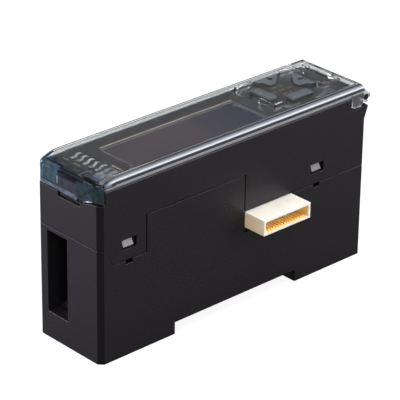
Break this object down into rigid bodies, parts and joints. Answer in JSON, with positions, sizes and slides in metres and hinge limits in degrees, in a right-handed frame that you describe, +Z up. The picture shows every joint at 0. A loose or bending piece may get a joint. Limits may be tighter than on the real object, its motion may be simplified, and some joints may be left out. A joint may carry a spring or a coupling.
{
  "type": "contact sensor amplifier",
  "caption": "Slim rail-mounted amplifier for a contact sensor, with a clear flip-up cover, display, keys, light bars, a sensor socket and a side link connector.",
  "frame": {"origin": "middle of the ceiling of the rail slot, on the case's mid-plane", "axes": "+X towards the side with the standing link connector, -Y towards the end with the sensor socket, +Z up away from the rail"},
  "size_m": [0.025, 0.0785, 0.0421],
  "materials": {
    "case_plastic": "fine moulded texture",
    "clear_cover": "clear glossy polycarbonate",
    "panel_plastic": "dark printed panel",
    "smoked_lens": "smoked glossy lens",
    "display_glass": "dark display glass",
    "key_plastic": "satin grey",
    "light_pipe": "pale translucent",
    "circuit_board": "green solder mask",
    "switch_plastic": "plain",
    "led_resin": "cast resin",
    "socket_plastic": "moulded",
    "ivory_plastic": "moulded ivory",
    "contact_gold": "gold plated",
    "spring_steel": "drawn wire"
  },
  "bodies": {
    "case": {"lower_case": "case_plastic", "upper_case": "case_plastic", "control_panel": "panel_plastic", "display_window": "smoked_lens", "display_module": "display_glass", "light_bar_1": "light_pipe", "light_bar_2": "light_pipe", "light_bar_3": "light_pipe", "light_bar_4": "light_pipe", "light_bar_5": "light_pipe", "light_window": "light_pipe", "panel_board": "circuit_board", "key_switches": "switch_plastic", "indicator_leds": "led_resin", "board_header": "socket_plastic", "main_board": "circuit_board", "sensor_socket": "socket_plastic", "sensor_pins": "contact_gold", "link_plug": "ivory_plastic", "link_contacts": "contact_gold", "link_socket": "socket_plastic", "link_socket_contacts": "contact_gold", "latch_spring": "spring_steel"},
    "cover": {"cover": "clear_cover"},
    "key_far": {"key_far": "key_plastic"},
    "key_rear": {"key_rear": "key_plastic"},
    "key_front": {"key_front": "key_plastic"},
    "key_near": {"key_near": "key_plastic"},
    "key_side_rear": {"key_side_rear": "key_plastic"},
    "key_side_front": {"key_side_front": "key_plastic"},
    "rail_latch": {"rail_latch": "case_plastic"}
  },
  "joints": [
    {"name": "cover_hinge", "type": "hinge", "parent": "case", "child": "cover", "pos_m": [0, 0.0385, 0.0357], "axis": [-1, 0, 0], "range_deg": [0, 120]},
    {"name": "key_far_press", "type": "slide", "parent": "case", "child": "key_far", "axis": [0, 0, -1], "range_m": [0, 0.0003], "stiffness_N_per_m": 800, "springref_m": -0.0003},
    {"name": "key_rear_press", "type": "slide", "parent": "case", "child": "key_rear", "axis": [0, 0, -1], "range_m": [0, 0.0003], "stiffness_N_per_m": 800, "springref_m": -0.0003},
    {"name": "key_front_press", "type": "slide", "parent": "case", "child": "key_front", "axis": [0, 0, -1], "range_m": [0, 0.0003], "stiffness_N_per_m": 800, "springref_m": -0.0003},
    {"name": "key_near_press", "type": "slide", "parent": "case", "child": "key_near", "axis": [0, 0, -1], "range_m": [0, 0.0003], "stiffness_N_per_m": 800, "springref_m": -0.0003},
    {"name": "key_side_rear_press", "type": "slide", "parent": "case", "child": "key_side_rear", "axis": [0, 0, -1], "range_m": [0, 0.0003], "stiffness_N_per_m": 800, "springref_m": -0.0003},
    {"name": "key_side_front_press", "type": "slide", "parent": "case", "child": "key_side_front", "axis": [0, 0, -1], "range_m": [0, 0.0003], "stiffness_N_per_m": 800, "springref_m": -0.0003},
    {"name": "rail_latch_slide", "type": "slide", "parent": "case", "child": "rail_latch", "axis": [0, -1, 0], "range_m": [0, 0.0014], "stiffness_N_per_m": 1500, "springref_m": -0.001, "deforming": ["latch_spring"]}
  ]
}
